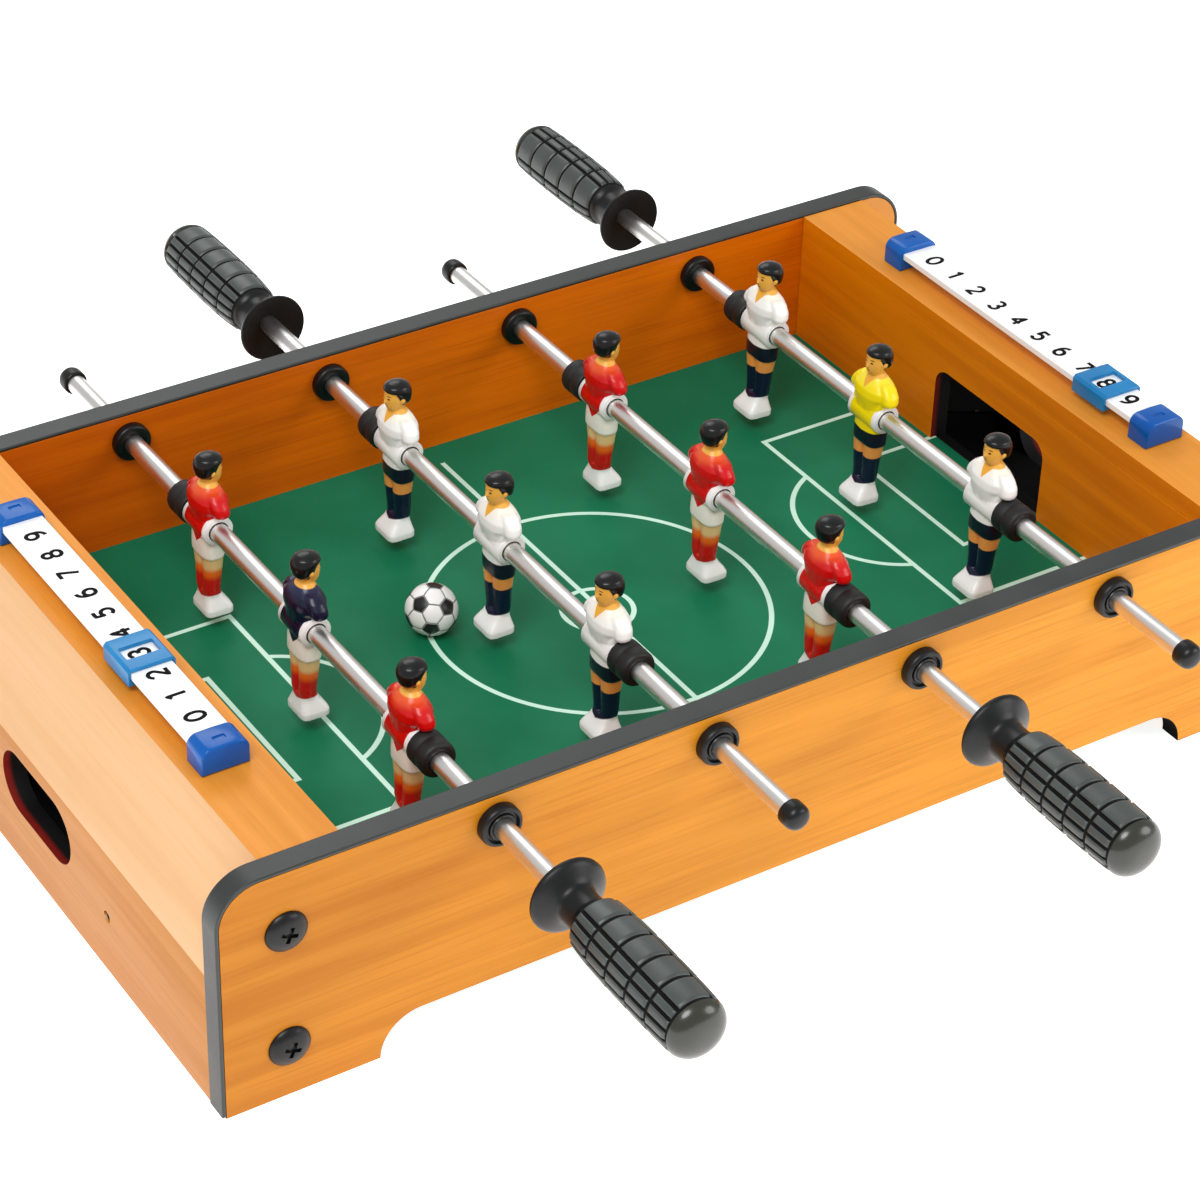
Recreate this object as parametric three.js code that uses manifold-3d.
// A tabletop football table: two long side panels, two folded end boards, a pitch held in grooves,
// four sliding and spinning rods with twelve players, two score counters and a ball.
//
// Millimetres, +Z up. The origin is on the floor under the middle of the pitch, +X runs along the
// pitch from goal to goal, and +Y runs along the rods.
import * as THREE from 'three';
import { mergeVertices, toCreasedNormals } from 'three/addons/utils/BufferGeometryUtils.js';
import Module from 'manifold-3d';

const wasm = await Module();
wasm.setup();

// ---- Driving dimensions -------------------------------------------------------------------

const clearance = 0.3; // gap between two fixed pieces that touch on the real table

// case
const tableLength = 510;
const tableWidth = 305; // over the outer faces of the side panels
const rimAboveRods = 13.5; // rod axis to the crown of the edge trim
const panelThickness = 10;
const panelCornerRadius = 18;
const trimThickness = 1.6;
const trimTongueWidth = 2.4;
const trimTongueLength = 5;
const trimFloorGap = 1;
const footLength = 65;
const cutoutHeight = 17.3;

// end boards and goal walls
const endBoardThickness = 9;
const shelfBelowRim = 1;
const topShelfLength = 32.5; // level shelf behind the goal wall's inner face
const endFaceInset = 1; // end face to the ends of the side panels
const slopeDrop = 44; // shelf down to where the slope meets the upright end face
const returnHoleWidth = 60;
const returnHoleHeight = 28;
const returnHoleDrop = 2.4; // pitch down to the middle of the hole
const endScrewSpacing = 119.4;
const endScrewHeight = 27.6;
const endScrewHoleRadius = 2.5;
const goalWallThickness = 9;
const goalWallBottom = 22;
const goalWidth = 76;
const goalHeight = 37.2; // pitch to crossbar
const goalCornerRadius = 8;

// pitch
const pitchLength = 400; // between the goal walls
const pitchTop = 41.4;
const pitchThickness = 3;
const grooveDepth = 3.4;

// ball return trays
const trayFloorThickness = 2.5;
const trayWallThickness = 2.5;
const trayWallHeight = 13;
const trayInnerWidth = 79;
const trayTopDrop = 3.9; // pitch down to the tray's high end
const trayMouthDrop = 15.4; // pitch down to the tray's low end

// rods
const rodSpacing = 94.2;
const rodRadius = 4;
const rodClearance = 0.35;
const rodStroke = 34; // free travel each way from the middle of the table
const restOffsets = [-8.5, 2, -8.5, 6.5]; // where each rod stands along Y
const restLean = [1.5, 0, 1.5, -3]; // degrees that each row of players leans forward
const facesRight = [true, false, true, false];

// bushings
const bushingBarrelRadius = 6.8;
const bushingFlangeRadius = 8.6;
const bushingFlangeThickness = 3;
const bushingCollarRadius = 8.2;
const bushingCollarThickness = 3.8;

// handles, end caps and bumpers, measured along the rod from its middle
const handleReach = 190.5; // middle of the rod to the rim of the handle's flange
const handleLength = 88;
const handleFlangeRadius = 15.4;
const handleNeckRadius = 7.2;
const handleGripRadius = 12.7;
const handleFlangeThickness = 2.8;
const handleDishDepth = 4.5;
const handleBoreDepth = 60;
const capReach = 202.3;
const capLength = 8;
const capRadius = 5.3;
const capWall = 2.2;
const bumperRadius = 7.5;

// players
const playerSpacing = 81;
const hubHalfLength = 9.6;
const hubRadius = 6.6;
const soleDrop = 42.5; // rod axis to the sole
const soleGap = 7.1; // pitch to the sole
const crownRise = 32; // rod axis to the top of the head
const footWidth = 15.4;
const footToe = 8.4;
const footHeel = 4.2;
const shoulderHalfWidth = 14.2;
const waistHalfWidth = 9.4;
const chestHalfDepth = 7.5;
const headRadius = 5.8;
const headForward = 1;

// score counters
const scoreCentre = 217.8; // from the middle of the table to the middle of each counter
const scoreRise = 8.8; // shelf to the top of the bar
const scoreBarWidth = 17;
const scoreBarThickness = 3;
const digitPitch = 15;
const digitCount = 10;
const scoreCapLength = 12.5;
const scoreCapWidth = 19.5;
const scoreCapRise = 2.7; // how far the cap stands above the bar
const scoreCapPocket = 8;
const sliderLength = 21;
const sliderWidth = 19.6;
const sliderWall = 1.6;
const sliderLegDrop = 2.2;
const sliderWindowLength = 8;
const sliderWindowWidth = 14;
const shownDigits = [3, 8]; // left counter, right counter

// ball
const ballRadius = 11;
const ballX = -67.2;
const ballGap = 0.5; // from the nearest player's foot

// ---- Values worked out from the driving dimensions ------------------------------------------

const halfLength = tableLength / 2;
const halfWidth = tableWidth / 2;
const innerHalfWidth = halfWidth - panelThickness;
const halfPitch = pitchLength / 2;
const rodX = [-1.5, -0.5, 0.5, 1.5].map((step) => step * rodSpacing);
const boreRadius = rodRadius + rodClearance;
const rodHeight = pitchTop + soleGap + soleDrop;
const panelHeight = rodHeight + rimAboveRods;
const endBoardTop = panelHeight - shelfBelowRim;
const slopeFoot = endBoardTop - slopeDrop;
const returnHoleCentre = pitchTop - returnHoleDrop;
const scoreTop = endBoardTop + scoreRise;

// ---- Materials ----------------------------------------------------------------------------

function material(color, roughness, metalness = 0) {
  return new THREE.MeshStandardMaterial({ color, roughness, metalness });
}

const finishes = {
  panelWood: material(0xd9791a, 0.4),
  endWood: material(0xf2b57c, 0.45),
  goalWood: material(0xc8670f, 0.45),
  trim: material(0x4a4f54, 0.4),
  pitch: material(0x1f7a52, 0.5),
  tray: material(0x7a3a1c, 0.7),
  steel: material(0xd8d8d6, 0.2, 1),
  black: material(0x141414, 0.4),
  rubber: material(0x1c1c1c, 0.7),
  redTeam: material(0xd8141c, 0.35),
  redKeeper: material(0x151a3c, 0.35),
  whiteTeam: material(0xf4f2ec, 0.35),
  whiteKeeper: material(0xf2e21a, 0.35),
  scoreBar: material(0xfafafa, 0.3),
  scoreCap: material(0x1450c8, 0.2),
  scoreSlider: material(0x2a80d0, 0.25),
  ball: material(0xf2f2f2, 0.35),
};

// ---- Solid helpers ------------------------------------------------------------------------

const creaseAngle = 0.6; // edges sharper than this, in radians, are drawn crisp

// A three.js geometry as a manifold solid, with shared vertices and no flat triangles.
function solidOf(geometry) {
  const bare = geometry.index ? geometry.toNonIndexed() : geometry.clone();
  bare.deleteAttribute('normal');
  bare.deleteAttribute('uv');
  const merged = mergeVertices(bare, 1e-4);
  const index = merged.index.array;
  const kept = [];
  for (let i = 0; i < index.length; i += 3) {
    const [a, b, c] = [index[i], index[i + 1], index[i + 2]];
    if (a !== b && b !== c && c !== a) kept.push(a, b, c);
  }
  return new wasm.Manifold(new wasm.Mesh({
    numProp: 3,
    vertProperties: new Float32Array(merged.attributes.position.array),
    triVerts: new Uint32Array(kept),
  }));
}

function geometryOf(solid) {
  const mesh = solid.getMesh();
  const geometry = new THREE.BufferGeometry();
  geometry.setAttribute('position', new THREE.BufferAttribute(mesh.vertProperties, 3));
  geometry.setIndex(new THREE.BufferAttribute(mesh.triVerts, 1));
  return toCreasedNormals(geometry, creaseAngle);
}

function joined(first, ...others) {
  return others.reduce((whole, other) => whole.add(other), first);
}

function cut(first, ...others) {
  return others.reduce((whole, other) => whole.subtract(other), first);
}

function box(low, high) {
  const size = high.map((value, i) => value - low[i]);
  const middle = high.map((value, i) => (value + low[i]) / 2);
  return solidOf(new THREE.BoxGeometry(...size).translate(...middle));
}

const basisAlongY = new THREE.Matrix4().makeBasis(
  new THREE.Vector3(1, 0, 0), new THREE.Vector3(0, 0, 1), new THREE.Vector3(0, -1, 0));
const basisAlongX = new THREE.Matrix4().makeBasis(
  new THREE.Vector3(0, 1, 0), new THREE.Vector3(0, 0, 1), new THREE.Vector3(1, 0, 0));

// An outline drawn in X and Z, extruded along Y from fromY to toY.
function extrudedAlongY(shape, fromY, toY, curveSegments = 5) {
  const geometry = new THREE.ExtrudeGeometry(
    shape, { depth: toY - fromY, bevelEnabled: false, curveSegments });
  geometry.applyMatrix4(basisAlongY);
  return solidOf(geometry.translate(0, toY, 0));
}

// An outline drawn in Y and Z, extruded along X from fromX to toX.
function extrudedAlongX(shape, fromX, toX, curveSegments = 6) {
  const geometry = new THREE.ExtrudeGeometry(
    shape, { depth: toX - fromX, bevelEnabled: false, curveSegments });
  geometry.applyMatrix4(basisAlongX);
  return solidOf(geometry.translate(fromX, 0, 0));
}

function outline(points) {
  return new THREE.Shape(points.map(([x, y]) => new THREE.Vector2(x, y)));
}

// A turned solid around Y. The profile holds [radius, distance along Y] pairs.
function turned(profile, segments) {
  const points = profile.map(([radius, along]) => new THREE.Vector2(radius, along));
  return solidOf(new THREE.LatheGeometry(points, segments));
}

// A cylinder around Y, for bores and hubs.
function cylinderAlongY(radius, fromY, toY, segments) {
  return turned([[0, fromY], [radius, fromY], [radius, toY], [0, toY]], segments);
}

const model = new THREE.Group();

function addNode(name, solid, finish, parent = model) {
  const mesh = new THREE.Mesh(geometryOf(solid), finishes[finish]);
  mesh.name = name;
  parent.add(mesh);
  return mesh;
}

// ---- Side panels and edge trim --------------------------------------------------------------

// The panel's outer edge from one foot over the top to the other, set in by a distance.
function traceOuterEdge(path, inset, bottom) {
  const x = halfLength - inset;
  const top = panelHeight - inset;
  const radius = panelCornerRadius - inset;
  path.moveTo(x, bottom);
  path.lineTo(x, top - radius);
  path.absarc(x - radius, top - radius, radius, 0, Math.PI / 2, false);
  path.lineTo(-x + radius, top);
  path.absarc(-x + radius, top - radius, radius, Math.PI / 2, Math.PI, false);
  path.lineTo(-x, bottom);
}

// The whole board, with the cut-out between its two feet.
function boardShape() {
  const footEnd = halfLength - footLength;
  const shape = new THREE.Shape();
  traceOuterEdge(shape, trimThickness + clearance, 0);
  shape.lineTo(-footEnd, 0);
  shape.absarc(-footEnd + cutoutHeight, 0, cutoutHeight, Math.PI, Math.PI / 2, true);
  shape.lineTo(footEnd - cutoutHeight, cutoutHeight);
  shape.absarc(footEnd - cutoutHeight, 0, cutoutHeight, Math.PI / 2, 0, true);
  shape.closePath();
  return shape;
}

// A band that follows the outer edge, between two insets.
function bandShape(outerInset, innerInset, bottom) {
  const outer = new THREE.Path();
  traceOuterEdge(outer, outerInset, bottom);
  const inner = new THREE.Path();
  traceOuterEdge(inner, innerInset, bottom);
  const points = outer.getPoints(5).concat(inner.getPoints(5).reverse());
  return new THREE.Shape(points);
}

function sidePanel(side) {
  const inner = side * innerHalfWidth;
  const outer = side * halfWidth;
  const [fromY, toY] = [Math.min(inner, outer), Math.max(inner, outer)];
  const middleY = (fromY + toY) / 2;
  const board = extrudedAlongY(boardShape(), fromY, toY);
  const tongueHalf = trimTongueWidth / 2 + clearance;
  const tongueGroove = extrudedAlongY(
    bandShape(0, trimThickness + trimTongueLength + clearance, -1),
    middleY - tongueHalf, middleY + tongueHalf);
  const grooveEnd = inner + side * grooveDepth;
  const pitchGroove = box(
    [-halfPitch - grooveDepth, Math.min(inner - side, grooveEnd), pitchTop - pitchThickness - clearance],
    [halfPitch + grooveDepth, Math.max(inner - side, grooveEnd), pitchTop + clearance]);
  const bushingHoles = rodX.map((x) => cylinderAlongY(
    bushingBarrelRadius + clearance, fromY - 1, toY + 1, 12).translate([x, 0, rodHeight]));
  return cut(board, tongueGroove, pitchGroove, ...bushingHoles);
}

function edgeTrim(side) {
  const inner = side * innerHalfWidth;
  const outer = side * halfWidth;
  const [fromY, toY] = [Math.min(inner, outer), Math.max(inner, outer)];
  const middleY = (fromY + toY) / 2;
  const cap = extrudedAlongY(bandShape(0, trimThickness, trimFloorGap), fromY, toY);
  const tongue = extrudedAlongY(
    bandShape(trimThickness / 2, trimThickness + trimTongueLength, trimFloorGap),
    middleY - trimTongueWidth / 2, middleY + trimTongueWidth / 2);
  return joined(cap, tongue);
}

for (const [name, side] of [['front', -1], ['back', 1]]) {
  addNode(`${name}_side_panel`, sidePanel(side), 'panelWood');
  addNode(`${name}_edge_trim`, edgeTrim(side), 'trim');
}

// ---- Pitch, goal walls, end boards and ball trays -------------------------------------------

const pitchReach = grooveDepth - clearance;
addNode('playfield', box(
  [-halfPitch - pitchReach, -innerHalfWidth - pitchReach, pitchTop - pitchThickness],
  [halfPitch + pitchReach, innerHalfWidth + pitchReach, pitchTop]), 'pitch');

const boardHalfWidth = innerHalfWidth - clearance; // boards that stand between the side panels
const shelfUnderside = endBoardTop - endBoardThickness;

// The ends are made for the right, and turned half round for the left.
function goalWall() {
  const wall = box(
    [halfPitch, -boardHalfWidth, goalWallBottom],
    [halfPitch + goalWallThickness, boardHalfWidth, shelfUnderside - clearance]);
  const half = goalWidth / 2;
  const crossbar = pitchTop + goalHeight;
  const mouth = new THREE.Shape();
  mouth.moveTo(-half, pitchTop - clearance);
  mouth.lineTo(half, pitchTop - clearance);
  mouth.lineTo(half, crossbar - goalCornerRadius);
  mouth.absarc(half - goalCornerRadius, crossbar - goalCornerRadius, goalCornerRadius, 0, Math.PI / 2, false);
  mouth.lineTo(-half + goalCornerRadius, crossbar);
  mouth.absarc(
    -half + goalCornerRadius, crossbar - goalCornerRadius, goalCornerRadius, Math.PI / 2, Math.PI, false);
  mouth.closePath();
  const goal = extrudedAlongX(mouth, halfPitch - 1, halfPitch + goalWallThickness + 1, 5);
  const groove = box(
    [halfPitch - 1, -halfWidth, pitchTop - pitchThickness - clearance],
    [halfPitch + grooveDepth, halfWidth, pitchTop + clearance]);
  return cut(wall, goal, groove);
}

const endFace = halfLength - endFaceInset;
const endInside = endFace - endBoardThickness;
const shelfEnd = halfPitch + topShelfLength;

// One board, folded over the shelf, down the slope and down the end face.
function endBoard() {
  const slope = new THREE.Vector2(endFace - shelfEnd, slopeFoot - endBoardTop).normalize();
  const shelfFold = endBoardThickness * Math.tan(Math.acos(slope.x) / 2);
  const faceFold = endBoardThickness * Math.tan(Math.acos(-slope.y) / 2);
  const folded = extrudedAlongY(outline([
    [halfPitch, endBoardTop], [halfPitch, shelfUnderside], [shelfEnd - shelfFold, shelfUnderside],
    [endInside, slopeFoot - faceFold], [endInside, 0], [endFace, 0], [endFace, slopeFoot],
    [shelfEnd, endBoardTop],
  ]), -boardHalfWidth, boardHalfWidth);
  const radius = returnHoleHeight / 2;
  const straight = returnHoleWidth / 2 - radius;
  const stadium = new THREE.Shape();
  stadium.absarc(straight, returnHoleCentre, radius, -Math.PI / 2, Math.PI / 2, false);
  stadium.absarc(-straight, returnHoleCentre, radius, Math.PI / 2, 3 * Math.PI / 2, false);
  stadium.closePath();
  const returnHole = extrudedAlongX(stadium, endInside - 1, endFace + 1, 8);
  const screwHoles = [-1, 1].map((side) => {
    const hole = new THREE.Shape();
    hole.absarc(side * endScrewSpacing / 2, endScrewHeight, endScrewHoleRadius, 0, 2 * Math.PI, false);
    return extrudedAlongX(hole, endInside - 1, endFace + 1, 5);
  });
  return cut(folded, returnHole, ...screwHoles);
}

// A sloping chute from the goal mouth down to the return hole.
function ballTray() {
  const fromX = halfPitch + goalWallThickness + clearance;
  const toX = endInside - clearance;
  const half = trayInnerWidth / 2;
  const top = pitchTop - trayTopDrop;
  const mouth = pitchTop - trayMouthDrop;
  const floorShape = outline([
    [fromX, top], [fromX, top - trayFloorThickness],
    [toX, mouth - trayFloorThickness], [toX, mouth],
  ]);
  const wallShape = outline([
    [fromX, top + trayWallHeight], [fromX, top - trayFloorThickness],
    [toX, mouth - trayFloorThickness], [toX, mouth + trayWallHeight],
  ]);
  const outerHalf = half + trayWallThickness;
  return joined(
    extrudedAlongY(floorShape, -outerHalf, outerHalf),
    extrudedAlongY(wallShape, -outerHalf, -half),
    extrudedAlongY(wallShape, half, outerHalf));
}

for (const [name, turn] of [['right', 0], ['left', Math.PI]]) {
  const end = new THREE.Group();
  end.rotation.z = turn;
  model.add(end);
  addNode(`${name}_goal_wall`, goalWall(), 'goalWood', end);
  addNode(`${name}_end_board`, endBoard(), 'endWood', end);
  addNode(`${name}_ball_tray`, ballTray(), 'tray', end);
}

// ---- Bushings -------------------------------------------------------------------------------

// Turned around Y with the flange outside the case at negative Y and the collar inside.
function bushing() {
  const outside = -panelThickness - clearance - bushingFlangeThickness;
  const inside = clearance + bushingCollarThickness;
  return turned([
    [boreRadius, outside + 1.6], [bushingFlangeRadius - 1.4, outside],
    [bushingFlangeRadius, outside + 1.4], [bushingFlangeRadius, -panelThickness - clearance],
    [bushingBarrelRadius, -panelThickness - clearance], [bushingBarrelRadius, clearance],
    [bushingCollarRadius, clearance], [bushingCollarRadius - 1, inside], [boreRadius, inside],
    [boreRadius, outside + 1.6],
  ], 12);
}

for (const [name, side] of [['front', -1], ['back', 1]]) {
  rodX.forEach((x, i) => {
    const mesh = addNode(`${name}_bushing_${i + 1}`, bushing(), 'black');
    mesh.position.set(x, side * innerHalfWidth, rodHeight);
    if (side > 0) mesh.rotation.z = Math.PI;
  });
}

// ---- Rods, handles, bumpers and players -------------------------------------------------------

// Each row is made around Y with its handle at negative Y and its players facing positive X.

function handle() {
  const rim = -handleReach;
  const end = rim - handleLength;
  const along = (share) => rim - share * handleLength;
  return turned([
    [0, end], [handleGripRadius * 0.55, end + 2.4], [handleGripRadius * 0.93, end + 8.5],
    [handleGripRadius, along(0.72)], [handleGripRadius, along(0.42)],
    [handleGripRadius * 0.88, along(0.22)], [handleGripRadius * 0.78, along(0.17)],
    [handleNeckRadius, along(0.155)], [handleNeckRadius, rim - handleDishDepth - 1.5],
    [handleFlangeRadius - 1, rim - handleFlangeThickness], [handleFlangeRadius, rim - 1.2],
    [handleFlangeRadius - 0.8, rim], [boreRadius, rim - handleDishDepth],
    [boreRadius, rim - handleBoreDepth], [0, rim - handleBoreDepth],
  ], 14);
}

function endCap() {
  const end = capReach + capLength;
  return turned([
    [boreRadius, capReach], [capRadius, capReach], [capRadius, end - 3.2],
    [capRadius * 0.7, end - 0.9], [0, end], [0, end - capWall - 1], [boreRadius, end - capWall - 1],
    [boreRadius, capReach],
  ], 12);
}

const bumperFrom = playerSpacing + hubHalfLength + clearance;
const bumperTo = innerHalfWidth - clearance - bushingCollarThickness - rodStroke;

function bumper(side) {
  const ring = turned([
    [boreRadius, bumperFrom], [bumperRadius, bumperFrom], [bumperRadius, bumperTo - 1.2],
    [bumperRadius - 1.2, bumperTo], [boreRadius, bumperTo], [boreRadius, bumperFrom],
  ], 12);
  return side > 0 ? ring : ring.rotate([0, 0, 180]);
}

// A body part turned around Z, then flattened to its depth along X.
function turnedUpright(profile, segments, depthShare, forward = 0) {
  const points = profile.map(([radius, height]) => new THREE.Vector2(radius, height));
  const geometry = new THREE.LatheGeometry(points, segments).rotateX(Math.PI / 2);
  geometry.scale(depthShare, 1, 1);
  return solidOf(geometry.translate(forward, 0, 0));
}

function player() {
  const wide = shoulderHalfWidth;
  const shoulder = crownRise - 14.5;
  const torso = turnedUpright([
    [0, -13], [waistHalfWidth * 0.76, -13], [waistHalfWidth, bumperRadius + 0.4],
    [wide, bumperRadius + 3], [wide * 0.84, shoulder - 3], [wide * 0.3, shoulder + 2],
    [0, shoulder + 2],
  ], 8, chestHalfDepth / shoulderHalfWidth);
  const head = turnedUpright([
    [0, shoulder - 1], [headRadius * 0.6, shoulder - 1], [headRadius, crownRise - 8],
    [headRadius * 0.8, crownRise - 2], [0, crownRise],
  ], 8, 1, headForward);
  const legs = turnedUpright([
    [0, -37], [4.9, -37], [5.4, -28], [7.7, -12], [0, -12],
  ], 8, 0.68);
  const foot = extrudedAlongY(outline([
    [-footHeel, -soleDrop], [footToe, -soleDrop], [footToe, -soleDrop + 3.5],
    [footToe * 0.45, -soleDrop + 9.5], [-footHeel + 0.6, -soleDrop + 9.5], [-footHeel, -soleDrop + 3.5],
  ]), -footWidth / 2, footWidth / 2);
  const hub = cylinderAlongY(hubRadius, -hubHalfLength, hubHalfLength, 10);
  const rodBore = cylinderAlongY(boreRadius, -hubHalfLength - 5, hubHalfLength + 5, 10);
  return cut(joined(torso, head, legs, foot, hub), rodBore);
}

const rows = [
  { names: ['red_back_1', 'red_keeper', 'red_back_2'], team: 'redTeam', middle: 'redKeeper' },
  { names: ['white_forward_1', 'white_forward_2', 'white_forward_3'], team: 'whiteTeam' },
  { names: ['red_forward_1', 'red_forward_2', 'red_forward_3'], team: 'redTeam' },
  { names: ['white_back_1', 'white_keeper', 'white_back_2'], team: 'whiteTeam', middle: 'whiteKeeper' },
];

const rodFrom = -handleReach - handleBoreDepth + clearance;
const rodTo = capReach + capLength - capWall - 1 - clearance;
const playerSolid = player();

rows.forEach((row, i) => {
  const line = new THREE.Group();
  line.position.set(rodX[i], restOffsets[i], rodHeight);
  line.rotation.z = facesRight[i] ? 0 : Math.PI;
  model.add(line);
  const team = new THREE.Group();
  team.rotation.y = THREE.MathUtils.degToRad(restLean[i]);
  line.add(team);
  addNode(`rod_${i + 1}`, cylinderAlongY(rodRadius, rodFrom, rodTo, 10), 'steel', team);
  addNode(`handle_${i + 1}`, handle(), 'black', team);
  addNode(`end_cap_${i + 1}`, endCap(), 'black', team);
  addNode(`handle_side_bumper_${i + 1}`, bumper(-1), 'rubber', team);
  addNode(`cap_side_bumper_${i + 1}`, bumper(1), 'rubber', team);
  row.names.forEach((name, k) => {
    const finish = k === 1 && row.middle ? row.middle : row.team;
    addNode(name, playerSolid, finish, team).position.y = (k - 1) * playerSpacing;
  });
});

// ---- Score counters ---------------------------------------------------------------------------

const scaleHalf = digitCount * digitPitch / 2 + 4; // free length of the bar on each side
const barUnderside = scoreTop - scoreBarThickness;

function scoreBar() {
  const reach = scaleHalf + scoreCapPocket - clearance;
  return box([-scoreBarWidth / 2, -reach, barUnderside], [scoreBarWidth / 2, reach, scoreTop]);
}

// A block with an arched top and a pocket for the bar's end, at the far end of the bar.
function scoreCap(side) {
  const half = scoreCapWidth / 2;
  const crown = scoreTop + scoreCapRise;
  const shape = outline([
    [-half, endBoardTop + clearance], [half, endBoardTop + clearance], [half, crown - 3.4],
    [half * 0.92, crown - 1.6], [half * 0.75, crown - 0.5], [0, crown], [-half * 0.75, crown - 0.5],
    [-half * 0.92, crown - 1.6], [-half, crown - 3.4],
  ]);
  const block = extrudedAlongY(shape, scaleHalf, scaleHalf + scoreCapLength);
  const slack = clearance;
  const pocket = box(
    [-scoreBarWidth / 2 - slack, scaleHalf - 1, barUnderside - slack],
    [scoreBarWidth / 2 + slack, scaleHalf + scoreCapPocket, scoreTop + slack]);
  const cap = cut(block, pocket);
  return side > 0 ? cap : cap.rotate([0, 0, 180]);
}

// A sleeve that hooks under both edges of the bar, with a window over one digit.
function scoreSlider() {
  const slack = clearance;
  const sleeveTop = scoreTop + slack + sliderWall;
  const sleeveBottom = barUnderside - slack - sliderLegDrop;
  const block = box(
    [-sliderWidth / 2, -sliderLength / 2, sleeveBottom], [sliderWidth / 2, sliderLength / 2, sleeveTop]);
  const channel = box(
    [-scoreBarWidth / 2 - slack, -sliderLength, barUnderside - slack],
    [scoreBarWidth / 2 + slack, sliderLength, scoreTop + slack]);
  const underSlot = box(
    [-scoreBarWidth / 2 + 2, -sliderLength, sleeveBottom - 1],
    [scoreBarWidth / 2 - 2, sliderLength, barUnderside]);
  const window = box(
    [-sliderWindowWidth / 2, -sliderWindowLength / 2, scoreTop - 1],
    [sliderWindowWidth / 2, sliderWindowLength / 2, sleeveTop + 1]);
  return cut(block, channel, underSlot, window);
}

// The digits run from 0 at the player's left, so the right counter is the left one turned round.
const digitPlace = (digit) => (digit - (digitCount - 1) / 2) * digitPitch;

for (const [i, [name, turn]] of [['left', 0], ['right', Math.PI]].entries()) {
  const counter = new THREE.Group();
  counter.rotation.z = turn;
  model.add(counter);
  const pieces = [
    addNode(`${name}_score_bar`, scoreBar(), 'scoreBar', counter),
    addNode(`${name}_score_cap_low`, scoreCap(-1), 'scoreCap', counter),
    addNode(`${name}_score_cap_high`, scoreCap(1), 'scoreCap', counter),
    addNode(`${name}_score_slider`, scoreSlider(), 'scoreSlider', counter),
  ];
  pieces.forEach((piece) => piece.position.setX(-scoreCentre));
  pieces[3].position.setY(digitPlace(shownDigits[i]));
}

// ---- Ball ---------------------------------------------------------------------------------------

const ballY = restOffsets[1] + footWidth / 2 + ballRadius + ballGap;
const ball = addNode('ball', solidOf(new THREE.IcosahedronGeometry(ballRadius, 2)), 'ball');
ball.position.set(ballX, ballY, pitchTop + ballRadius);

export default model;
